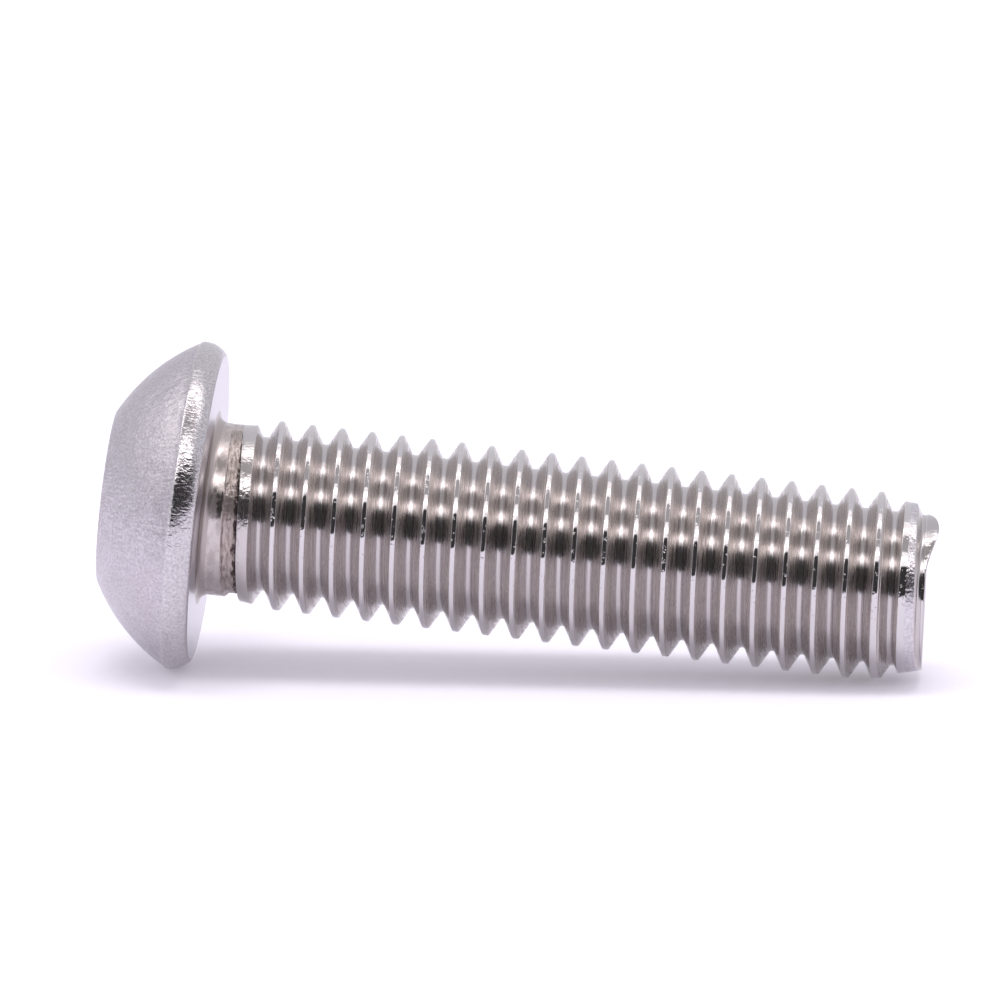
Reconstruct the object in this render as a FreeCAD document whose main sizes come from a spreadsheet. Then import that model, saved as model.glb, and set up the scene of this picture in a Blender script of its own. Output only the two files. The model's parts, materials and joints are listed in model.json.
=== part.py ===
import FreeCAD, Part
import math
import os

import Sketcher

# Button head screw, M8 x 1.25 x 30, of cold-forged stainless steel with a rolled thread.
# The real screw is one piece of metal, so the model is one body, in millimetres.
# The body is drawn along +X with the crown of the head at x = 0, then laid down as it rests:
# on the rim of its head and on the last full crest of its thread, with the tip towards +X.
# The threaded stretch has the diameter over its crests; the grooves between them are not cut.

# Driving dimensions. Each has its own cell.

SIZES = [
    ("head_diameter", 13.65),        # widest ring of the head
    ("head_height", 4.2),            # crown to bearing face
    ("crown_diameter", 7.14),        # flat crown; from it to the widest ring the dome is part of a ball
    ("rim_height", 0.9),             # bearing face to the widest ring
    ("rim_drop", 0.425),             # how far the rounded rim draws in between widest ring and bearing face
    ("key_size", 5.0),               # across the flats of the hexagon socket
    ("socket_depth", 2.6),           # full depth of the hexagon
    ("socket_cone_depth", 0.45),     # shallow cone that the punch leaves at the bottom
    ("countersink_margin", 0.163),   # how far the lead-in at the socket's mouth passes the hexagon's corners
    ("countersink_angle", 120),
    ("underhead_radius", 0.45),      # fillet between bearing face and neck
    ("neck_depth", 0.33),            # the bare wire lies this far inside the crests of the rolled thread
    ("neck_length", 1.35),
    ("collar_length", 1.1),          # stretch over which the rolled metal rises to full diameter
    ("thread_diameter", 7.83),       # over the crests
    ("shank_length", 29.9),          # bearing face to tip
    ("point_length", 1.6),           # stretch at the tip where the crests fall away
    ("point_depth", 0.815),          # how far inside the crests the end face's edge lies
    ("lip_radius", 0.19),            # bead of metal that the rolling curled over the tip
    ("lip_overlap", 0.05),           # how far the bead's middle lies inside the end face
    ("lip_sweep", 60),               # share of the circle that the bead covers, in degrees
]

doc = FreeCAD.newDocument("button_head_screw")
sheet = doc.addObject("Spreadsheet::Sheet", "Sizes")
for row, (alias, value) in enumerate(SIZES, start=1):
    sheet.set(f"A{row}", alias)
    sheet.set(f"B{row}", str(value))
    sheet.setAlias(f"B{row}", alias)
doc.recompute()

body = doc.addObject("PartDesign::Body", "Screw")
body.Label = "button_head_screw"
planes = {plane.Role: plane for plane in body.Origin.OriginFeatures}


# Drawing. A length is an expression of the sheet's cells, so each outline follows its sizes.

def size(alias):
    return float(sheet.get(alias))


def new_sketch(name, role):
    sketch = body.newObject("Sketcher::SketchObject", name)
    sketch.AttachmentSupport = [(planes[role], "")]
    sketch.MapMode = "FlatFace"
    return sketch


def place(sketch, along, radius):
    """The point at a place along the axis and a distance from it, both given as expressions."""
    return FreeCAD.Vector(float(sketch.evalExpression(along)), float(sketch.evalExpression(radius)), 0)


def fix_point(sketch, edge, end, along, radius):
    """Ties one end of an edge to its place along the axis and its distance from the axis."""
    spot = place(sketch, along, radius)
    ties = [("DistanceX", along, -2, spot.x), ("DistanceY", radius, -1, spot.y)]
    for kind, expression, axis, value in ties:
        if expression == "0":
            sketch.addConstraint(Sketcher.Constraint("PointOnObject", edge, end, axis))
            continue
        index = sketch.addConstraint(Sketcher.Constraint(kind, -1, 1, edge, end, value))
        sketch.setExpression(f"Constraints[{index}]", expression)


def add_arc(sketch, centre, start, stop, clockwise):
    """An arc from start to stop. The second and third values say which of its ends is which."""
    if clockwise:
        start, stop = stop, start
    from_angle = math.atan2(start.y - centre.y, start.x - centre.x)
    to_angle = math.atan2(stop.y - centre.y, stop.x - centre.x)
    circle = Part.Circle(centre, FreeCAD.Vector(0, 0, 1), (start - centre).Length)
    edge = sketch.addGeometry(Part.ArcOfCircle(circle, from_angle, to_angle), False)
    if clockwise:
        return edge, 2, 1
    return edge, 1, 2


def closed_outline(sketch, corners, arcs):
    """A closed outline through corners (along, radius).

    arcs holds, for each edge that is an arc, its centre, whether it turns clockwise, and what ties
    the centre: "PointOnObject" keeps it on the axis, "Vertical" or "Horizontal" in line with the
    arc's first end.
    """
    points = [place(sketch, along, radius) for along, radius in corners]
    ends = []
    for number, start in enumerate(points):
        stop = points[(number + 1) % len(points)]
        if number in arcs:
            centre, clockwise, tie = arcs[number]
            ends.append(add_arc(sketch, place(sketch, *centre), start, stop, clockwise))
        else:
            edge = sketch.addGeometry(Part.LineSegment(start, stop), False)
            ends.append((edge, 1, 2))
    for number, (edge, first, last) in enumerate(ends):
        next_edge, next_first, next_last = ends[(number + 1) % len(ends)]
        sketch.addConstraint(Sketcher.Constraint("Coincident", edge, last, next_edge, next_first))
        fix_point(sketch, edge, first, *corners[number])
    for number, (centre, clockwise, tie) in arcs.items():
        edge, first, last = ends[number]
        if tie == "PointOnObject":
            sketch.addConstraint(Sketcher.Constraint(tie, edge, 3, -1))
        else:
            sketch.addConstraint(Sketcher.Constraint(tie, edge, 3, edge, first))


def turned(kind, name, corners, arcs=None):
    """A full turn of an outline about the screw's axis, which adds metal or removes it."""
    sketch = new_sketch(name + "_outline", "XZ_Plane")
    closed_outline(sketch, corners, arcs or {})
    feature = body.newObject(kind, name)
    feature.Profile = sketch
    feature.ReferenceAxis = (sketch, ["H_Axis"])
    feature.Angle = 360
    doc.recompute()


# The blank: dome, rounded rim, bearing face, fillet, neck, threaded stretch and point, as one turned solid.

BEARING = "Sizes.head_height"
WIDEST = "(Sizes.head_height - Sizes.rim_height)"
TIP = "(Sizes.head_height + Sizes.shank_length)"
HEAD_RADIUS = "(Sizes.head_diameter / 2)"
CROWN_RADIUS = "(Sizes.crown_diameter / 2)"
THREAD_RADIUS = "(Sizes.thread_diameter / 2)"
NECK_RADIUS = f"({THREAD_RADIUS} - Sizes.neck_depth)"
POINT_RADIUS = f"({THREAD_RADIUS} - Sizes.point_depth)"
DOME_CENTRE = f"(({WIDEST} ^ 2 + {HEAD_RADIUS} ^ 2 - {CROWN_RADIUS} ^ 2) / (2 * {WIDEST}))"
RIM_RADIUS = "((Sizes.rim_height ^ 2 + Sizes.rim_drop ^ 2) / (2 * Sizes.rim_drop))"
FILLET_START = f"{NECK_RADIUS} + Sizes.underhead_radius"
FILLET_END = f"{BEARING} + Sizes.underhead_radius"
NECK_END = f"{BEARING} + Sizes.neck_length"
turned(
    "PartDesign::Revolution",
    "blank",
    [
        ("0", "0"),
        ("0", CROWN_RADIUS),
        (WIDEST, HEAD_RADIUS),
        (BEARING, f"{HEAD_RADIUS} - Sizes.rim_drop"),
        (BEARING, FILLET_START),
        (FILLET_END, NECK_RADIUS),
        (NECK_END, NECK_RADIUS),
        (f"{NECK_END} + Sizes.collar_length", THREAD_RADIUS),
        (f"{TIP} - Sizes.point_length", THREAD_RADIUS),
        (TIP, POINT_RADIUS),
        (TIP, "0"),
    ],
    arcs={
        1: ((DOME_CENTRE, "0"), True, "PointOnObject"),
        2: ((WIDEST, f"{HEAD_RADIUS} - {RIM_RADIUS}"), True, "Vertical"),
        4: ((FILLET_END, FILLET_START), False, "Horizontal"),
    },
)
blank_volume = body.Shape.Volume


# The hexagon socket in the crown, with the punch's shallow cone below it and a lead-in at its mouth.

CORNER_RADIUS = "Sizes.key_size / 2 / cos(30)"
hexagon = new_sketch("socket_outline", "YZ_Plane")
corner = float(hexagon.evalExpression(CORNER_RADIUS))
spots = []
for number in range(6):
    turn = math.radians(90 + 60 * number)
    spots.append(FreeCAD.Vector(corner * math.cos(turn), corner * math.sin(turn), 0))
sides = []
for number in range(6):
    sides.append(hexagon.addGeometry(Part.LineSegment(spots[number], spots[(number + 1) % 6]), False))
ring = hexagon.addGeometry(Part.Circle(FreeCAD.Vector(0, 0, 0), FreeCAD.Vector(0, 0, 1), corner), True)
hexagon.addConstraint(Sketcher.Constraint("Coincident", ring, 3, -1, 1))
for number, side in enumerate(sides):
    hexagon.addConstraint(Sketcher.Constraint("Coincident", side, 2, sides[(number + 1) % 6], 1))
    hexagon.addConstraint(Sketcher.Constraint("PointOnObject", side, 1, ring))
    if number:
        hexagon.addConstraint(Sketcher.Constraint("Equal", sides[0], side))
hexagon.addConstraint(Sketcher.Constraint("PointOnObject", sides[0], 1, -2))
ring_size = hexagon.addConstraint(Sketcher.Constraint("Radius", ring, corner))
hexagon.setExpression(f"Constraints[{ring_size}]", CORNER_RADIUS)

socket = body.newObject("PartDesign::Pocket", "socket")
socket.Profile = hexagon
socket.Reversed = True
socket.setExpression("Length", "Sizes.socket_depth")
turned(
    "PartDesign::Groove",
    "socket_cone",
    [
        ("Sizes.socket_depth", "0"),
        ("Sizes.socket_depth", "Sizes.key_size / 2"),
        ("Sizes.socket_depth + Sizes.socket_cone_depth", "0"),
    ],
)
COUNTERSINK_RADIUS = f"({CORNER_RADIUS} + Sizes.countersink_margin)"
turned(
    "PartDesign::Groove",
    "countersink",
    [
        ("0", "0"),
        ("0", COUNTERSINK_RADIUS),
        (f"{COUNTERSINK_RADIUS} / tan(Sizes.countersink_angle / 2)", "0"),
    ],
)
socket_volume = blank_volume - body.Shape.Volume


# The lip at the tip: a short bead on the upper edge of the end face.

LIP_ALONG = f"{TIP} - Sizes.lip_overlap"
LIP_OUT = f"{POINT_RADIUS} - Sizes.lip_radius / 2"
lip_outline = new_sketch("lip_outline", "XZ_Plane")
lip_centre = place(lip_outline, LIP_ALONG, LIP_OUT)
lip_circle = Part.Circle(lip_centre, FreeCAD.Vector(0, 0, 1), size("lip_radius"))
bead = lip_outline.addGeometry(lip_circle, False)
fix_point(lip_outline, bead, 3, LIP_ALONG, LIP_OUT)
bead_size = lip_outline.addConstraint(Sketcher.Constraint("Radius", bead, size("lip_radius")))
lip_outline.setExpression(f"Constraints[{bead_size}]", "Sizes.lip_radius")
lip = body.newObject("PartDesign::Revolution", "end_lip")
lip.Profile = lip_outline
lip.ReferenceAxis = (lip_outline, ["H_Axis"])
lip.Midplane = True
lip.setExpression("Angle", "Sizes.lip_sweep")
doc.recompute()


# Laid down: the line that touches the rounded rim and the last full crest becomes level.

rim_radius = (size("rim_height") ** 2 + size("rim_drop") ** 2) / (2 * size("rim_drop"))
run = size("shank_length") - size("point_length") + size("rim_height")
rise = size("head_diameter") / 2 - rim_radius - size("thread_diameter") / 2
lie_angle = math.degrees(math.atan2(rise, run) + math.asin(rim_radius / math.hypot(run, rise)))

lying = FreeCAD.Rotation(FreeCAD.Vector(0, 1, 0), lie_angle)
body.Placement = FreeCAD.Placement(FreeCAD.Vector(0, 0, 0), lying)
doc.recompute()
box = body.Shape.optimalBoundingBox(False)
body.Placement.Base = FreeCAD.Vector(-box.Center.x, -box.Center.y, -box.ZMin)
doc.recompute()


# Checked, then written.

for thing in doc.Objects:
    if "Invalid" in thing.State or "Error" in thing.State:
        raise RuntimeError(f"{thing.Name} failed")
if body.Shape.isNull() or not body.Shape.isValid() or len(body.Shape.Solids) != 1:
    raise RuntimeError("the screw is not one valid solid")
if socket_volume <= 0:
    raise RuntimeError("the socket cut nothing")

os.makedirs("parts", exist_ok=True)
body.Shape.exportStep(f"parts/{body.Label}.step")
print(f"{body.Label}: {body.Shape.Volume:.1f} mm3, lies at {lie_angle:.2f} degrees")
print(f"{box.XLength:.2f} x {box.YLength:.2f} x {box.ZLength:.2f} mm, base {body.Placement.Base}")
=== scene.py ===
import json
import math

import bmesh
import bpy
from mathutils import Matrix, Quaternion, Vector, noise


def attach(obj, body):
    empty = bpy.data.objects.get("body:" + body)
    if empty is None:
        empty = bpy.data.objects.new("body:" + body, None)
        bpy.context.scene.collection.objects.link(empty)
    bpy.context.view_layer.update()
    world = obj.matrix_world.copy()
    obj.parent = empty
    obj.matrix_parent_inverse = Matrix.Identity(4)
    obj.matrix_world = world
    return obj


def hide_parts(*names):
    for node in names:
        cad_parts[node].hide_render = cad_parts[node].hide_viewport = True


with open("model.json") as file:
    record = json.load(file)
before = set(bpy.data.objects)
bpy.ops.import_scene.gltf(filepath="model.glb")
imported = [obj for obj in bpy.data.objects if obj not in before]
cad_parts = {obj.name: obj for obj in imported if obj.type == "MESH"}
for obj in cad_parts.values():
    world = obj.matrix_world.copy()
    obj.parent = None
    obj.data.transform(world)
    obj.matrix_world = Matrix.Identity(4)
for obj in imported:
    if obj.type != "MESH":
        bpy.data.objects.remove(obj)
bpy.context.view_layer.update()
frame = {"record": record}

# The thread.
# Stainless steel, rolled cold between two dies that push the metal out of the groove and up into the crests.
# Under the head the dies run out in a shallow, torn groove, and at the tip the crests fall away.
# Sizes are in mm: x runs from the bearing face towards the tip, and a radius outwards from the axis.

pitch = 1.25
crest_radius = 3.915
root_radius = 3.165
wire_radius = 3.585          # the bare wire, as on the neck
flank_slope = math.tan(math.radians(60))
root_arc = 0.165             # radius of the rounded bottom of the groove
root_flat = 0.01             # half of the flat in the middle of that bottom
corner_radius = 0.04         # rounding of the crest's two edges
first_root = 2.08            # where the first full groove starts, on top
first_turn = -2
last_turn = 23
columns = 192                # places round the screw
outline_of_crests = [(1.35, wire_radius), (2.05, 3.74), (2.6, crest_radius), (27.9, crest_radius),
                     (28.3, 3.79), (28.8, 3.64), (29.2, 3.57), (29.55, 3.38), (29.9, 3.18)]

mm = 0.001
head_height = 4.2
crown = next(mount for mount in frame["record"]["mounts"] if mount["name"] == "hex_socket")
axis = -Vector(crown["axis"]).normalized()
front = Vector((0, -1, 0))
upward = front.cross(axis).normalized()
bearing_centre = Vector(crown["pos_m"]) + axis * head_height * mm
finishes = []


def linear(hex_colour):
    """An sRGB hex colour as the linear values that the shaders want."""
    values = [int(hex_colour[i:i + 2], 16) / 255 for i in (1, 3, 5)]
    return tuple(v / 12.92 if v <= 0.04045 else ((v + 0.055) / 1.055) ** 2.4 for v in values) + (1.0,)


def add_node(tree, kind, settings=None, links=None):
    """Adds a node. Settings are its sockets' values or its own properties, and links feed its sockets."""
    made = tree.nodes.new(kind)
    for name, value in (settings or {}).items():
        if hasattr(made, name):
            setattr(made, name, value)
    for name, value in (settings or {}).items():
        if not hasattr(made, name):
            made.inputs[name].default_value = value
    for name, source in (links or {}).items():
        tree.links.new(source, made.inputs[name])
    return made


def steel(name, colour, roughness):
    """A bare steel finish. Gives its place among the finishes, its node tree and its shader."""
    material = bpy.data.materials.new(name)
    material.use_nodes = True
    shader = material.node_tree.nodes["Principled BSDF"]
    shader.inputs["Base Color"].default_value = linear(colour)
    shader.inputs["Metallic"].default_value = 1.0
    shader.inputs["Roughness"].default_value = roughness
    finishes.append(material)
    return len(finishes) - 1, material.node_tree, shader


def lay_pattern(tree, length, width, detail=2.0):
    """Streaks that follow the thread, of a length and a width in mm."""
    lay = add_node(tree, "ShaderNodeUVMap", {"uv_map": "lay"})
    stretch = (math.tau * wire_radius / length, 1 / width, 1.0)
    streaks = add_node(tree, "ShaderNodeMapping", {"Scale": stretch}, {"Vector": lay.outputs["UV"]})
    return add_node(tree, "ShaderNodeTexNoise", {"noise_dimensions": "2D", "Scale": 1.0, "Detail": detail},
                    {"Vector": streaks.outputs["Vector"]}).outputs["Fac"]


def relief(tree, shader, *heights):
    """Presses patterns into the surface. Each is a pattern and its depth in mm."""
    normal = None
    for pattern, depth in heights:
        links = {"Height": pattern}
        if normal is not None:
            links["Normal"] = normal
        bump = add_node(tree, "ShaderNodeBump", {"Strength": 1.0, "Distance": depth * mm}, links)
        normal = bump.outputs["Normal"]
    tree.links.new(normal, shader.inputs["Normal"])


# Rolled flanks: steel burnished by the dies, which leave drag lines and small steps along the groove.
# Half-bright, so what it mirrors is blurred, and warm where light bounces in the groove. Real drag lines are
# about 0.01 mm wide, too fine to show, and are drawn 0.035 mm wide.
flank, tree, shader = steel("rolled_stainless_flank", "#BFBAB9", 0.24)
drag = lay_pattern(tree, 5.6, 0.035)
steps_of_die = lay_pattern(tree, 60.0, 0.05, 0.0)
relief(tree, shader, (drag, 0.006), (steps_of_die, 0.012), (lay_pattern(tree, 0.45, 0.06), 0.0015))
gloss = add_node(tree, "ShaderNodeMapRange",
                 {"From Min": 0.35, "From Max": 0.7, "To Min": 0.18, "To Max": 0.36},
                 {"Value": lay_pattern(tree, 1.8, 0.09)})
tree.links.new(gloss.outputs["Result"], shader.inputs["Roughness"])
tone = add_node(tree, "ShaderNodeMixRGB", {"Color1": linear("#AFA7A4"), "Color2": linear("#D2CDCB")},
                {"Fac": drag})
tree.links.new(tone.outputs["Color"], shader.inputs["Base Color"])

# Rolled roots: pressed hardest by the die's edge, so brighter than the flanks, with lines along the groove.
root, tree, shader = steel("rolled_stainless_root", "#C0BBBB", 0.15)
relief(tree, shader, (lay_pattern(tree, 6.8, 0.035), 0.006))


def grain_pattern(tree, size, detail=2.0, distortion=0.0):
    """Patches of one size in mm, the same in all directions."""
    spot = add_node(tree, "ShaderNodeTexCoord")
    settings = {"Scale": 1 / (size * mm), "Detail": detail, "Distortion": distortion}
    return add_node(tree, "ShaderNodeTexNoise", settings, {"Vector": spot.outputs["Object"]}).outputs["Fac"]


# Rolled crests: the last metal to be pushed up, polished bright by the dies, with small nicks from the bin.
crest, tree, shader = steel("rolled_stainless_crest", "#D0CCCD", 0.06)
nick = add_node(tree, "ShaderNodeMapRange",
                {"From Min": 0.65, "From Max": 0.72, "To Min": 1.0, "To Max": 0.0},
                {"Value": grain_pattern(tree, 0.15, 1.0)})
relief(tree, shader, (nick.outputs["Result"], 0.008), (grain_pattern(tree, 0.4), 0.003))

# The flat last crests: pressed short of the die's full depth, so they keep the mottled skin of the wire.
point, tree, shader = steel("unpressed_stainless_crest", "#C6C2C5", 0.22)
mottle = grain_pattern(tree, 0.13, 3.0)
relief(tree, shader, (mottle, 0.028))
spread = add_node(tree, "ShaderNodeMapRange", {"From Min": 0.3, "From Max": 0.7}, {"Value": mottle})
tone = add_node(tree, "ShaderNodeMixRGB", {"Color1": linear("#BDB8BC"), "Color2": linear("#DAD6DA")},
                {"Fac": spread.outputs["Result"]})
tree.links.new(tone.outputs["Color"], shader.inputs["Base Color"])


def turned_pattern(tree, along, around, radius, detail=2.0, distortion=0.0):
    """Patches of a length along the outline and a width round the axis in mm, at about one radius."""
    turned = add_node(tree, "ShaderNodeAttribute", {"attribute_name": "turned"})
    stretch = (1 / along, radius / around, radius / around)
    stretched = add_node(tree, "ShaderNodeMapping", {"Scale": stretch}, {"Vector": turned.outputs["Vector"]})
    return add_node(tree, "ShaderNodeTexNoise", {"Scale": 1.0, "Detail": detail, "Distortion": distortion},
                    {"Vector": stretched.outputs["Vector"]}).outputs["Fac"]


# The neck: wire, drawn and then squeezed in the die. Half-bright, with drag lines round it and dull patches.
neck, tree, shader = steel("drawn_stainless_neck", "#C0B8B5", 0.2)
rings_of_die = turned_pattern(tree, 0.05, 2.5, 3.6)
patches = turned_pattern(tree, 0.3, 0.5, 3.6)
relief(tree, shader, (rings_of_die, 0.004), (patches, 0.008))
gloss = add_node(tree, "ShaderNodeMapRange",
                 {"From Min": 0.4, "From Max": 0.62, "To Min": 0.14, "To Max": 0.36},
                 {"Value": patches})
tree.links.new(gloss.outputs["Result"], shader.inputs["Roughness"])
tone = add_node(tree, "ShaderNodeMixRGB", {"Color1": linear("#D0C9C7"), "Color2": linear("#AFA4A0")},
                {"Fac": patches})
tree.links.new(tone.outputs["Color"], shader.inputs["Base Color"])

# The collar before the first groove: wire that the dies only skimmed, bright with short faint lines.
collar, tree, shader = steel("skimmed_stainless_collar", "#C6C1C0", 0.18)
relief(tree, shader, (grain_pattern(tree, 0.16), 0.018), (lay_pattern(tree, 2.2, 0.05), 0.006))

# The torn run-in: steel dragged and folded where the dies took hold, dull, pinkish and rough.
torn, tree, shader = steel("torn_stainless_run_in", "#B7AAA6", 0.34)
tears = lay_pattern(tree, 0.45, 0.09, 3.0)
relief(tree, shader, (tears, 0.03), (grain_pattern(tree, 0.2, 3.0), 0.03))
spread = add_node(tree, "ShaderNodeMapRange", {"From Min": 0.3, "From Max": 0.6}, {"Value": tears})
tone = add_node(tree, "ShaderNodeMixRGB", {"Color1": linear("#92857F"), "Color2": linear("#B7ACA8")},
                {"Fac": spread.outputs["Result"]})
tree.links.new(tone.outputs["Color"], shader.inputs["Base Color"])

# The run-in's lip: the ragged edge of the fold, in the undercut foot of the torn groove. Its dark colour is
# painted shade in that crease, broken by brighter flakes.
shaded_lip, tree, shader = steel("folded_stainless_lip_painted_shade", "#6A5F5C", 0.45)
breaks_in_shade = add_node(tree, "ShaderNodeMapRange", {"From Min": 0.5, "From Max": 0.62},
                  {"Value": grain_pattern(tree, 0.3, 3.0)})
relief(tree, shader, (breaks_in_shade.outputs["Result"], 0.025))
tone = add_node(tree, "ShaderNodeMixRGB", {"Color1": linear("#504644"), "Color2": linear("#A39893")},
                {"Fac": breaks_in_shade.outputs["Result"]})
tree.links.new(tone.outputs["Color"], shader.inputs["Base Color"])

# The shape of the groove. It fades out over the turn before the first full one.
torn_flat_left = 0.13        # how much wider its bottom gets on each side
torn_flat_right = 0.28
torn_gentler = 0.85          # how much gentler its left wall gets and how much steeper its right one
torn_steeper = 2.5
arc_of_depth = 1.4           # the arc's radius in a shallow groove, per mm of its depth
arc_degrees = (20, 40, 60)
corner_share = 0.3           # the part of a low flank that the crest's rounded edge may take
corner_steps = ((-0.5, 0.866), (0.18, 0.25), (1.0, 0.0))      # across and down, per mm of the rounding


def piecewise(points, x):
    """Straight lines between points, level outside them."""
    if x <= points[0][0]:
        return points[0][1]
    for (x0, y0), (x1, y1) in zip(points, points[1:]):
        if x <= x1:
            return y0 + (y1 - y0) * (x - x0) / (x1 - x0)
    return points[-1][1]


def half_groove(centre, turns_in, side):
    """Offsets and radii from the groove's middle to the middle of the crest on one side."""
    faded = min(max(-turns_in, 0), 1)
    bottom = root_radius + (wire_radius - root_radius) * faded
    if side > 0:
        flat = root_flat + torn_flat_right * faded
        slope = flank_slope * (1 + torn_steeper * faded)
    else:
        flat = root_flat + torn_flat_left * faded
        slope = flank_slope * (1 - torn_gentler * faded)
    top_offset = 0.5        # a first guess, as the crest's edge and its height there depend on each other
    for _ in range(3):
        top = piecewise(outline_of_crests, centre + side * (pitch / 2 + top_offset) / 2)
        depth = max(top - bottom, 0.0)
        arc = min(root_arc, arc_of_depth * depth)
        top_offset = flat + arc * math.sin(math.radians(60)) + max(depth - arc / 2, 0) / slope
    points = []
    for degrees in arc_degrees:
        turn = math.radians(degrees)
        points.append((flat + arc * math.sin(turn), bottom + arc * (1 - math.cos(turn))))
    foot_offset, foot_radius = points[-1]
    round_off = min(corner_radius * math.tan(math.radians(30)), corner_share * (top_offset - foot_offset))
    points.append(((foot_offset + top_offset) / 2, (foot_radius + top) / 2))
    for across, down in corner_steps:
        points.append((top_offset + round_off * across, top - round_off * down))
    return bottom, points


def whole_groove(centre, turns_in):
    """From the middle of one crest up to, and not with, the middle of the next."""
    bottom, right_half = half_groove(centre, turns_in, 1)
    left_half = half_groove(centre, turns_in, -1)[1]
    ridge = piecewise(outline_of_crests, centre - pitch / 2)
    return ([(-pitch / 2, ridge)] + [(-offset, radius) for offset, radius in reversed(left_half)]
            + [(0, bottom)] + right_half)


# The mesh. Each vertex keeps how far along the outline it lies and its direction from the axis, which the
# finishes use.
metal = bmesh.new()
lay_layer = metal.loops.layers.uv.new("lay")
turned_layer = metal.verts.layers.float_vector.new("turned")


def place(x, angle, radius):
    """The point at x along the axis, at an angle that is 0 on top and grows towards the front."""
    outwards = upward * math.cos(angle) + front * math.sin(angle)
    return bearing_centre + (axis * x + outwards * radius) * mm


def add_vertex(x, angle, radius, along=None):
    vertex = metal.verts.new(place(x, angle, radius))
    vertex[turned_layer] = (x if along is None else along, math.cos(angle), math.sin(angle))
    return vertex


def add_face(vertices, finish, lay=()):
    face = metal.faces.new(vertices)
    face.material_index = finish
    face.smooth = True
    for loop, place_on_lay in zip(face.loops, lay):
        loop[lay_layer].uv = place_on_lay


def smooth_step(low, high, value):
    t = min(max((value - low) / (high - low), 0), 1)
    return t * t * (3 - 2 * t)


def wobble(point, size, seed):
    """Smooth unevenness between about -1 and 1, with bumps of a size in mm."""
    return noise.noise(point / (size * mm) + Vector((seed, 0, 0)))


tear_rise = (-1.0, -0.75)    # the turns over which the tear sets in
tear_fall = (0.12, -0.2)     # and over which it fades out, counted backwards
tear_bumps = 0.03
lip_depth = 0.05             # how deep the right foot of the torn groove is undercut
lip_shift = 0.07             # how far the steel beside its middle is folded to the left, and how unevenly
lip_raggedness = 1.6
rolling_unevenness = 0.003   # along the whole thread
rows_a_turn = len(whole_groove(first_root, 0))
middle_row = rows_a_turn // 2
right_foot_rows = (middle_row + 2, middle_row + 3)
rings = []
for turn in range(first_turn, last_turn + 1):
    spans = []
    for column in range(columns):
        turns_in = turn + column / columns
        centre = first_root + pitch * turns_in
        spans.append((centre, math.tau * column / columns, turns_in, whole_groove(centre, turns_in)))
    for row in range(rows_a_turn):
        ring = []
        for centre, angle, turns_in, groove in spans:
            offset, radius = groove[row]
            spot = place(centre + offset, angle, radius)
            in_tear = smooth_step(*tear_fall, turns_in) * smooth_step(*tear_rise, turns_in)
            near_middle = smooth_step(0.5, 0.1, abs(offset))
            right_foot = row in right_foot_rows
            radius += tear_bumps * in_tear * near_middle * wobble(spot, size=0.28, seed=5)
            radius -= lip_depth * in_tear * right_foot * (1 + wobble(spot, size=0.35, seed=7))
            radius += rolling_unevenness * wobble(spot, size=0.9, seed=11)
            if row == middle_row + 1:
                offset -= lip_shift * in_tear * (1 + lip_raggedness * wobble(spot, size=0.3, seed=13))
            ring.append((add_vertex(centre + offset, angle, radius), offset, turns_in))
        rings.append(ring)

# The stretches of the thread that have a finish of their own: the tear in turns, collar and point in mm.
tear_start = -0.97
lip_end = -0.3
tear_end = -0.12
collar_start = 1.2
collar_end = 2.6
point_start = 28.6
half_strips = 3              # strips in half a crest and in half a root


def thread_finish(row, turns_in, centre):
    """Which finish a strip of the thread has. Strips are counted from the middle of a crest."""
    left_half = row >= rows_a_turn - half_strips
    on_crest = row < half_strips or left_half
    crest_middle = centre + (pitch / 2 if left_half else -pitch / 2)
    at_right_foot = middle_row < row < rows_a_turn - half_strips
    # The lip's dark finish is painted shade along the crease at the torn groove's right foot.
    if tear_start < turns_in < lip_end and at_right_foot:
        return shaded_lip
    if turns_in < tear_end and not on_crest:
        return torn if turns_in > tear_start else neck
    if on_crest and crest_middle < collar_end:
        return neck if crest_middle < collar_start else collar
    if on_crest and crest_middle > point_start and not left_half:
        return point
    if middle_row - half_strips <= row < middle_row + half_strips:
        return root
    return crest if on_crest else flank


def thread_face(low_ring, column, high_ring, next_low, next_high, row):
    """One face between two strips' edges, and its place along and across the groove."""
    corners = []
    lay = []
    for ring, at in ((low_ring, column), next_low, next_high, (high_ring, column)):
        vertex, offset, turns_in = ring[at]
        corners.append(vertex)
        lay.append((turns_in, offset))
    turns_in = low_ring[column][2]
    if row == rows_a_turn - 1:
        lay[2] = (lay[2][0] - 1, pitch / 2)
        lay[3] = (lay[3][0] - 1, pitch / 2)
    add_face(corners, thread_finish(row, turns_in, first_root + pitch * turns_in), lay)


# A ring is closed by the same ring a turn on, which makes the helix.
for index, (low_ring, high_ring) in enumerate(zip(rings, rings[1:])):
    row = index % rows_a_turn
    for column in range(columns - 1):
        thread_face(low_ring, column, high_ring, (low_ring, column + 1), (high_ring, column + 1), row)
    if index + 1 + rows_a_turn < len(rings):
        thread_face(low_ring, columns - 1, high_ring, (rings[index + rows_a_turn], 0),
                    (rings[index + 1 + rows_a_turn], 0), row)


def round_the_axis(point):
    """The angle and the radius of a point."""
    offset = (point - bearing_centre) / mm
    outwards = offset - axis * offset.dot(axis)
    return math.atan2(outwards.dot(front), outwards.dot(upward)) % math.tau, outwards.length


cut_snap = 1e-8              # in m: what lies this near to a cut counts as on it
cut_reach = 1e-6             # in m: the open edge that it leaves lies within this


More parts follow.
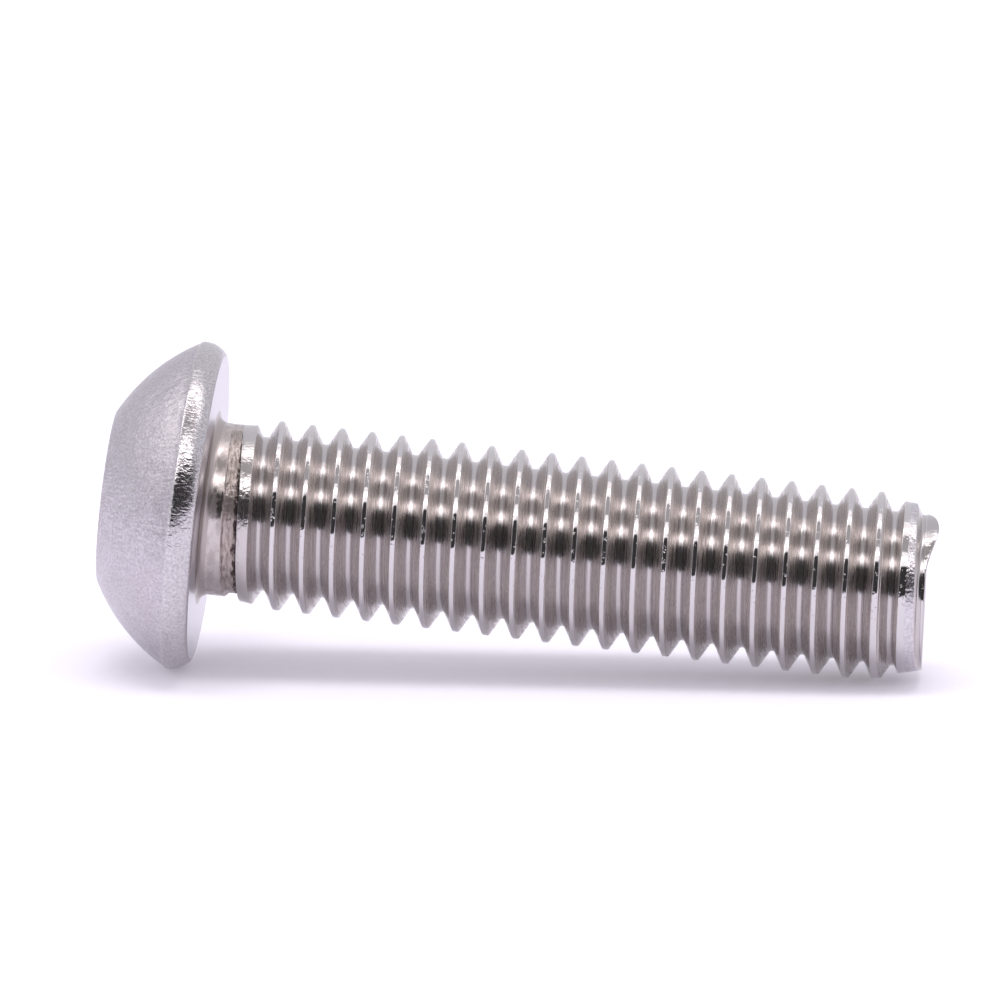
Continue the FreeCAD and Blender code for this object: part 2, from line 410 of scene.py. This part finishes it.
def cut(x, keep, up_slant=0.0, front_slant=0.0):
    """Cuts the mesh across the axis, keeps one side, and returns the open edge in order round it.
    The slants are how much nearer to the head the cut is per mm upwards, and farther per mm to the front."""
    at = place(x, 0, 0)
    across = (axis + upward * up_slant - front * front_slant).normalized()
    bmesh.ops.bisect_plane(metal, geom=metal.verts[:] + metal.edges[:] + metal.faces[:], plane_co=at,
                           plane_no=across, dist=cut_snap, clear_outer=keep < 0, clear_inner=keep > 0)
    edge = [v for v in metal.verts if v.is_boundary and abs((v.co - at).dot(across)) < cut_reach]
    ring = sorted(edge, key=lambda v: round_the_axis(v.co)[0])[:1]
    while True:
        beside = [e.other_vert(ring[-1]) for e in ring[-1].link_edges if e.is_boundary]
        onward = [v for v in beside if v not in ring[-2:]]
        following = min(onward, key=lambda v: round_the_axis(v.co)[0])
        if following is ring[0]:
            return ring
        ring.append(following)


neck_end = 0.6               # from here the neck goes on with the head
neck_edge = cut(neck_end, 1)

# The sheared end.
# The wire was cropped before rolling, so the end is slanted and a little cupped, and the last of the thread
# was squeezed over its edge on the upper side, where it stands past the end as a small ear.

end_x = 29.92
up_slant = 0.062
front_slant = 0.046
edge_back = 0.06             # how far back from the end's plane the thread stops
cup_depth = 0.25
ear_length = 0.46
ear_lift = 0.12
ear_at = 23                  # its middle and its reach to each side, in degrees round the axis
ear_reach = 44
fold_radius = 2.75           # the ear's foot lies between the edge and this radius

# Sheared steel: dull, with the grain of the break, which is finer than the 0.1 mm that shows here.
sheared, tree, shader = steel("sheared_stainless_end", "#C3BEC1", 0.3)
relief(tree, shader, (grain_pattern(tree, 0.1, 3.0), 0.02))

# The edge of the end: steel that was smeared over it, bright, with drag marks across.
smeared, tree, shader = steel("smeared_stainless_edge", "#BEB9B9", 0.14)
relief(tree, shader, (grain_pattern(tree, 0.2), 0.012), (turned_pattern(tree, 0.5, 0.12, 3.2), 0.01))


def ear(angle):
    """1 in the middle of the ear, 0 away from it."""
    away = abs((math.degrees(angle) - ear_at + 180) % 360 - 180)
    return smooth_step(ear_reach, 0, away)


def tip_step(back, drop, reach, inwards=0.0, stop=0.0):
    """A ring at the end. It lies back from the end's plane, a drop below the thread's edge or part of the way
    inwards to a radius, and takes the ear with it by its reach."""
    def step(angle, start):
        lift = ear_lift * ear(angle) * reach
        radius = start - drop + lift + (stop - start + drop - lift) * inwards
        slanted = (front_slant * math.sin(angle) - up_slant * math.cos(angle)) * radius
        return end_x + slanted - back + ear_length * ear(angle) * reach, radius, None
    return step


def grow(ring, profile):
    """Adds ring after ring of faces. A step of the profile gives x, radius and how far along the outline it
    lies, from the angle and from the radius where it all started."""
    starts = [round_the_axis(v.co) for v in ring]
    for finish, step in profile:
        following = [add_vertex(x, angle, radius, along)
                     for angle, start in starts for x, radius, along in [step(angle, start)]]
        for i in range(len(ring)):
            j = (i + 1) % len(ring)
            add_face((ring[i], ring[j], following[j], following[i]), finish)
        ring = following
    return ring


def close(ring, x, finish):
    """Closes a ring with a fan to the axis."""
    middle = add_vertex(x, 0, 0)
    for i in range(len(ring)):
        add_face((ring[i], ring[(i + 1) % len(ring)], middle), finish)


# Over the edge: how far back, how much lower, and the ear's reach.
edge_steps = [(0.055, 0.0, 0.3), (0.045, 0.0, 0.65), (0.03, 0.01, 0.88), (0.01, 0.035, 0.97),
              (0.0, 0.08, 1.0)]
tip_profile = [(smeared, tip_step(back, drop, reach)) for back, drop, reach in edge_steps]

# Down the ear's inner side: how far back, the ear's reach, and the share of the way inwards.
fold_drop = 0.12
fold_steps = [(0.005, 0.97, 0.15), (0.015, 0.75, 0.4), (0.035, 0.4, 0.7), (0.06, 0.12, 1.0)]
for back, reach, inwards in fold_steps:
    tip_profile.append((sheared, tip_step(back, fold_drop, reach, inwards, fold_radius)))

# Into the cup: how far back, and the radius.
cup_steps = [(0.09, 2.6), (0.13, 2.4), (0.19, 2.0), (0.225, 1.4), (0.24, 0.8), (0.245, 0.3)]
tip_profile += [(sheared, tip_step(back, 0, 0, 1, radius)) for back, radius in cup_steps]
tip_edge = cut(end_x - edge_back, -1, up_slant, front_slant)
close(grow(tip_edge, tip_profile), end_x - cup_depth, sheared)

# The head: neck, bearing face, rim and dome.
# Stainless steel wire, upset in a cold-heading press: the die forms the bearing face and the fillet, and
# the punch the dome. What ran out between them is the rim, which the die wall burnished and crackled.

head_radius = 6.825
bearing_radius = 6.4
rim_height = 0.9
rim_arc = 1.165              # radius of the rim's rounding
dome_radius = 7.66
dome_centre = 2.577
crown_radius = 3.57
fillet = 0.45

# The fillet: metal that flowed round the corner of the die, dull, with fine rings. Its darker colour is
# painted shade in the corner between the neck and the bearing face.
shaded_fillet, tree, shader = steel("squeezed_stainless_fillet_painted_shade", "#AFA6A3", 0.3)
relief(tree, shader, (turned_pattern(tree, 0.06, 3.0, 3.8), 0.004))

# The bearing face: coined flat by the die, pale and even.
bearing, tree, shader = steel("coined_stainless_face", "#D3D0D6", 0.3)
relief(tree, shader, (grain_pattern(tree, 0.12), 0.003))

# The rim: burnished bright and crackled across its width, so that it breaks what it mirrors into flakes.
rim, tree, shader = steel("burnished_stainless_rim", "#C6C1C4", 0.17)
crackle = turned_pattern(tree, 0.28, 0.15, 6.8, 2.5, 1.0)
rim_waves = turned_pattern(tree, 0.8, 0.5, 6.8)
rim_grain = grain_pattern(tree, 0.1, 4.0)
relief(tree, shader, (crackle, 0.019), (rim_waves, 0.03), (rim_grain, 0.006))
spread = add_node(tree, "ShaderNodeMapRange", {"From Min": 0.3, "From Max": 0.7}, {"Value": rim_grain})
tone = add_node(tree, "ShaderNodeMixRGB", {"Color1": linear("#B3AEB1"), "Color2": linear("#D6D2D5")},
                {"Fac": spread.outputs["Result"]})
tree.links.new(tone.outputs["Color"], shader.inputs["Base Color"])

# The rim's edge at the bearing face: worn dull in the bin.
rim_edge, tree, shader = steel("worn_stainless_edge", "#BAB5B8", 0.26)
relief(tree, shader, (grain_pattern(tree, 0.15), 0.006))

# The dome: tumbled after forging, a satin skin with fine grain and faint creases that run out to the rim.
# The real grain is about 0.03 mm, too fine to show, and is drawn at 0.1 mm, here and on the crown.
dome, tree, shader = steel("tumbled_stainless_dome", "#C2BCC2", 0.33)
grain = grain_pattern(tree, 0.1, 4.0)
creases = turned_pattern(tree, 0.7, 0.16, 5.5, 1.0, 0.4)
relief(tree, shader, (grain, 0.028), (creases, 0.032), (grain_pattern(tree, 1.2), 0.1))
spread = add_node(tree, "ShaderNodeMapRange", {"From Min": 0.3, "From Max": 0.7}, {"Value": grain})
tone = add_node(tree, "ShaderNodeMixRGB", {"Color1": linear("#AFA9AF"), "Color2": linear("#D2CDD2")},
                {"Fac": spread.outputs["Result"]})
tree.links.new(tone.outputs["Color"], shader.inputs["Base Color"])
gloss = add_node(tree, "ShaderNodeMapRange",
                 {"From Min": 0.35, "From Max": 0.65, "To Min": 0.28, "To Max": 0.4},
                 {"Value": grain_pattern(tree, 0.8)})
tree.links.new(gloss.outputs["Result"], shader.inputs["Roughness"])

# The crown round the socket: struck flat by the punch and tumbled with the dome, so it has the same grain
# without the creases.
crown_skin, tree, shader = steel("struck_stainless_crown", "#C2BCC2", 0.33)
grain = grain_pattern(tree, 0.1, 4.0)
relief(tree, shader, (grain, 0.02))
spread = add_node(tree, "ShaderNodeMapRange", {"From Min": 0.3, "From Max": 0.7}, {"Value": grain})
tone = add_node(tree, "ShaderNodeMixRGB", {"Color1": linear("#AFA9AF"), "Color2": linear("#D2CDD2")},
                {"Fac": spread.outputs["Result"]})
tree.links.new(tone.outputs["Color"], shader.inputs["Base Color"])


def circle(x, radius, along=None):
    return lambda angle, start: (x, radius, along)


def uneven(x, radius, along, depth, size):
    """A circle with the unevenness that forging leaves."""
    return lambda angle, start: (x, radius + depth * wobble(place(x, angle, radius), size, seed=3), along)


# From the neck up the fillet and out over the bearing face.
neck_ring = 0.52             # the one ring between the cut and the fillet
fillet_degrees = (0, 15, 30, 45, 60, 75, 90)
neck_degrees = 15            # how far up the fillet the neck's finish goes
bearing_rings = (4.3, 4.8, 5.3, 5.8, 6.15, 6.3)
neck_profile = [(neck, circle(neck_ring, wire_radius))]
# Past the neck's finish, the fillet's finish has painted shade for the corner under the head.
for degrees in fillet_degrees:
    turn = math.radians(degrees)
    neck_profile.append((shaded_fillet if degrees > neck_degrees else neck,
                         circle(fillet * (1 - math.sin(turn)), wire_radius + fillet * (1 - math.cos(turn)))))
for radius in bearing_rings:
    neck_profile.append((bearing, circle(0.0, radius)))
ring = grow(neck_edge, neck_profile)

# Round the bearing face's edge and up the rim. A step of the outline is a finish, x, a radius, and the
# unevenness there, which is a depth and a size.
outline = []
edge_unevenness = (0.0, 1.0)
rim_unevenness = (0.012, 0.7)
reach_unevenness = (0.01, 0.7)
dome_unevenness = (0.012, 2.5)
edge_round = 0.07
edge_wider = 1.2
edge_sink = 0.01
edge_shares = (0.0, 0.3, 0.6, 1.0)
rim_sweep = math.asin(rim_height / rim_arc)
for share in edge_shares:
    turn = rim_sweep + (math.pi / 2 - rim_sweep) * (1 - share)
    outline.append((rim_edge, -edge_round + edge_round * math.sin(turn) - edge_sink * share,
                    bearing_radius - edge_round + edge_round * math.cos(turn) * edge_wider, edge_unevenness))
rim_steps = 14
worn_steps = 1               # those that still have the edge's finish
for i in range(1, rim_steps + 1):
    turn = rim_sweep * (1 - i / rim_steps)
    outline.append((rim_edge if i <= worn_steps else rim, -rim_height + rim_arc * math.sin(turn),
                    head_radius - rim_arc * (1 - math.cos(turn)), rim_unevenness))

# Over the widest ring, where the rim reaches a little over the dome, and up the dome.
rim_reach = ((0.05, 0.006), (0.1, 0.024), (0.14, 0.048), (0.165, 0.072))      # towards the crown, inwards
for past, drop in rim_reach:
    outline.append((rim, -rim_height - past, head_radius - drop, reach_unevenness))
dome_start = math.asin((dome_centre + rim_height) / dome_radius)
dome_end = math.acos(crown_radius / dome_radius)
covered = 0.028              # how much of the dome the rim covers, in radians
first_step = dome_start + covered
dome_steps = 24
for i in range(dome_steps + 1):
    turn = first_step + (dome_end - first_step) * i / dome_steps
    outline.append((dome, dome_centre - dome_radius * math.sin(turn), dome_radius * math.cos(turn),
                    dome_unevenness))

along = 0.0
last_x = 0.0
last_radius = bearing_rings[-1]
head_profile = []
for finish, x, radius, unevenness in outline:
    along -= math.hypot(x - last_x, radius - last_radius)
    head_profile.append((finish, uneven(x, radius, along, *unevenness)))
    last_x = x
    last_radius = radius
ring = grow(ring, head_profile)

# The hexagon socket.
# Punched into the steel crown as it was forged, with a countersunk mouth and the punch's shallow cone below.
# The photograph doesn't show it, so it has the size that goes with this head and is finished plainly.

key_size = 5.0
socket_depth = 2.6
socket_cone = 0.45
mouth_radius = 3.05
mouth_slope = math.tan(math.radians(60))

# Punched steel: dull, with drag lines down the walls.
punched, tree, shader = steel("punched_stainless_socket", "#C2BDBF", 0.32)
relief(tree, shader, (turned_pattern(tree, 2.0, 0.08, 2.7), 0.004), (grain_pattern(tree, 0.15), 0.006))


def wall_radius(angle):
    return key_size / 2 / math.cos(angle % (math.pi / 3) - math.pi / 6)


def mouth_foot(angle, start):
    """Where the countersink meets the hexagon's walls."""
    radius = wall_radius(angle)
    return -head_height + (mouth_radius - radius) / mouth_slope, radius, None


def wall(depth):
    return lambda angle, start: (-head_height + depth, wall_radius(angle), None)


crown_rings = (crown_radius - 0.05, (crown_radius + mouth_radius) / 2, mouth_radius)
wall_depths = (0.5, 0.9, 1.4, 1.9, 2.3, 2.55, socket_depth)
cone_radius = key_size / 2 - 0.05
cone_shares = (1.0, 0.75, 0.5, 0.25, 0.08)
socket_profile = [(crown_skin, circle(-head_height, radius)) for radius in crown_rings]
socket_profile += [(punched, mouth_foot)]
socket_profile += [(punched, wall(depth)) for depth in wall_depths]
for share in cone_shares:
    x = -head_height + socket_depth + socket_cone * (1 - share)
    socket_profile.append((punched, circle(x, cone_radius * share)))
close(grow(ring, socket_profile), -head_height + socket_depth + socket_cone, punched)

# The finished screw.
# One piece of stainless steel, forged and then rolled, so thread, end, head and socket are one closed mesh.
# Only edges sharper than the rounded ones stay sharp to the eye.

sharp_angle = math.radians(38)
bmesh.ops.recalc_face_normals(metal, faces=metal.faces[:])
for edge in metal.edges:
    edge.smooth = edge.calc_face_angle() < sharp_angle
mesh = bpy.data.meshes.new("screw")
metal.to_mesh(mesh)
metal.free()
for finish in finishes:
    mesh.materials.append(finish)
screw = bpy.data.objects.new("screw", mesh)
bpy.context.scene.collection.objects.link(screw)
even = screw.modifiers.new("even shading", "WEIGHTED_NORMAL")
even.mode = "FACE_AREA"
even.keep_sharp = True
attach(screw, "root")
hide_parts("button_head_screw")

# The floor.
# A sheet of matt white acrylic that glows a little, as on a light table, so that the shadows under the screw
# stay pale.

span = 1.5
floor_mesh = bpy.data.meshes.new("floor")
floor_corners = [(-span, -span, 0), (span, -span, 0), (span, span, 0), (-span, span, 0)]
floor_mesh.from_pydata(floor_corners, [], [(0, 1, 2, 3)])
floor = bpy.data.objects.new("floor", floor_mesh)
bpy.context.scene.collection.objects.link(floor)
acrylic = bpy.data.materials.new("white_acrylic")
acrylic.use_nodes = True
acrylic_shader = acrylic.node_tree.nodes["Principled BSDF"]
acrylic_shader.inputs["Base Color"].default_value = linear("#EBE7F0")
acrylic_shader.inputs["Roughness"].default_value = 0.9
acrylic_shader.inputs["Specular IOR Level"].default_value = 0.0
acrylic_shader.inputs["Emission Color"].default_value = linear("#FBF7FF")
acrylic_shader.inputs["Emission Strength"].default_value = 0.2
floor_mesh.materials.append(acrylic)

# The lights.
# A white room, a softbox in front and above, a strip overhead, and the dark of the studio behind the camera,
# which only the polished metal mirrors. The strip is the one light that throws a shadow.

room = bpy.data.worlds.new("white_room")
room.use_nodes = True
room.node_tree.nodes["Background"].inputs["Color"].default_value = (1.0, 0.99, 1.06, 1)
room.node_tree.nodes["Background"].inputs["Strength"].default_value = 0.82
bpy.context.scene.world = room


def card(name, profile, left, right, strength):
    """A sheet that runs along the screw, seen only by what mirrors it.
    The profile is points ahead of the screw and above the floor, in m."""
    corners = []
    for ahead, height in profile:
        corners += [(-left, -ahead, height), (right, -ahead, height)]
    faces = [(2 * i, 2 * i + 1, 2 * i + 3, 2 * i + 2) for i in range(len(profile) - 1)]
    card_mesh = bpy.data.meshes.new(name)
    card_mesh.from_pydata(corners, [], faces)
    made = bpy.data.objects.new(name, card_mesh)
    bpy.context.scene.collection.objects.link(made)
    material = bpy.data.materials.new(name)
    material.use_nodes = True
    tree = material.node_tree
    tree.nodes.remove(tree.nodes["Principled BSDF"])
    glow = add_node(tree, "ShaderNodeEmission", {"Color": linear("#FFFBFD"), "Strength": strength})
    tree.links.new(glow.outputs["Emission"], tree.nodes["Material Output"].inputs["Surface"])
    card_mesh.materials.append(material)
    made.visible_camera = False
    made.visible_diffuse = False
    made.visible_shadow = False


card_distance = 0.7
screw_height = 0.007


def arc_of_view(low, high):
    """Two points of a card, at heights of view in degrees in front of the screw."""
    points = []
    for degrees in (low, high):
        turn = math.radians(degrees)
        points.append((card_distance * math.cos(turn), card_distance * math.sin(turn) + screw_height))
    return points


# The dark reaches close to the screw, just over the floor. Softboxes glow less at their edges than inside.
dark_floor = [(0.17, 0.0005), (0.69, 0.001)]
edge_glow = 1.5
core_glow = 4.4
card("dark_card", dark_floor + arc_of_view(1, 40), left=1.0, right=2.4, strength=0.05)
card("softbox_below", arc_of_view(40.5, 47), left=1.1, right=0.5, strength=edge_glow)
card("softbox_core", arc_of_view(47, 54), left=1.1, right=0.7, strength=core_glow)
card("softbox_above", arc_of_view(54, 60), left=1.1, right=0.5, strength=edge_glow)
card("dim_ceiling", arc_of_view(60, 86), left=0.5, right=0.5, strength=0.52)
card("strip_before", arc_of_view(86, 92), left=1.1, right=0.5, strength=edge_glow)
card("strip_core", arc_of_view(92, 98), left=1.1, right=0.7, strength=core_glow)
card("strip_behind", arc_of_view(98, 111), left=1.1, right=0.5, strength=edge_glow)

strip = bpy.data.lights.new("strip_light", "AREA")
strip.shape = "RECTANGLE"
strip.size = 0.5
strip.size_y = 0.25
strip.energy = 2.05
strip_light = bpy.data.objects.new("strip_light", strip)
strip_light.location = (0, -0.07, 0.7)
strip_light.rotation_euler = (-strip_light.location).to_track_quat("-Z", "Y").to_euler()
strip_light.visible_glossy = False
bpy.context.scene.collection.objects.link(strip_light)

# The camera.
# A long lens a little above the screw and a little to its right, as in the photograph.

yaw = math.radians(4.573)
elevation = math.radians(11)
roll = math.radians(0.215)
distance = 0.8
focal_pixels = 19333.4
image_size = 1000
photo_centre = (517.118, 530.202)      # where the target lies in the photograph
target = Vector((0, 0, 0.006))
level_share = math.cos(elevation)
back = Vector((math.sin(yaw) * level_share, -math.cos(yaw) * level_share, math.sin(elevation)))
right = Vector((math.cos(yaw), math.sin(yaw), 0))
above = back.cross(right)
eye = target + back * distance
pixel = distance / focal_pixels
sideways = image_size / 2 - photo_centre[0]
upwards = photo_centre[1] - image_size / 2
aim = target + right * sideways * pixel + above * upwards * pixel
lens = bpy.data.cameras.new("camera")
lens.sensor_width = 36
lens.lens = focal_pixels / image_size * lens.sensor_width
lens.clip_start = 0.01
lens.clip_end = 10
camera = bpy.data.objects.new("camera", lens)
camera.location = eye
camera.rotation_mode = "QUATERNION"
camera.rotation_quaternion = (aim - eye).to_track_quat("-Z", "Y") @ Quaternion((0, 0, 1), roll)
bpy.context.scene.collection.objects.link(camera)
bpy.context.scene.camera = camera
bpy.context.scene.view_settings.view_transform = "Standard"
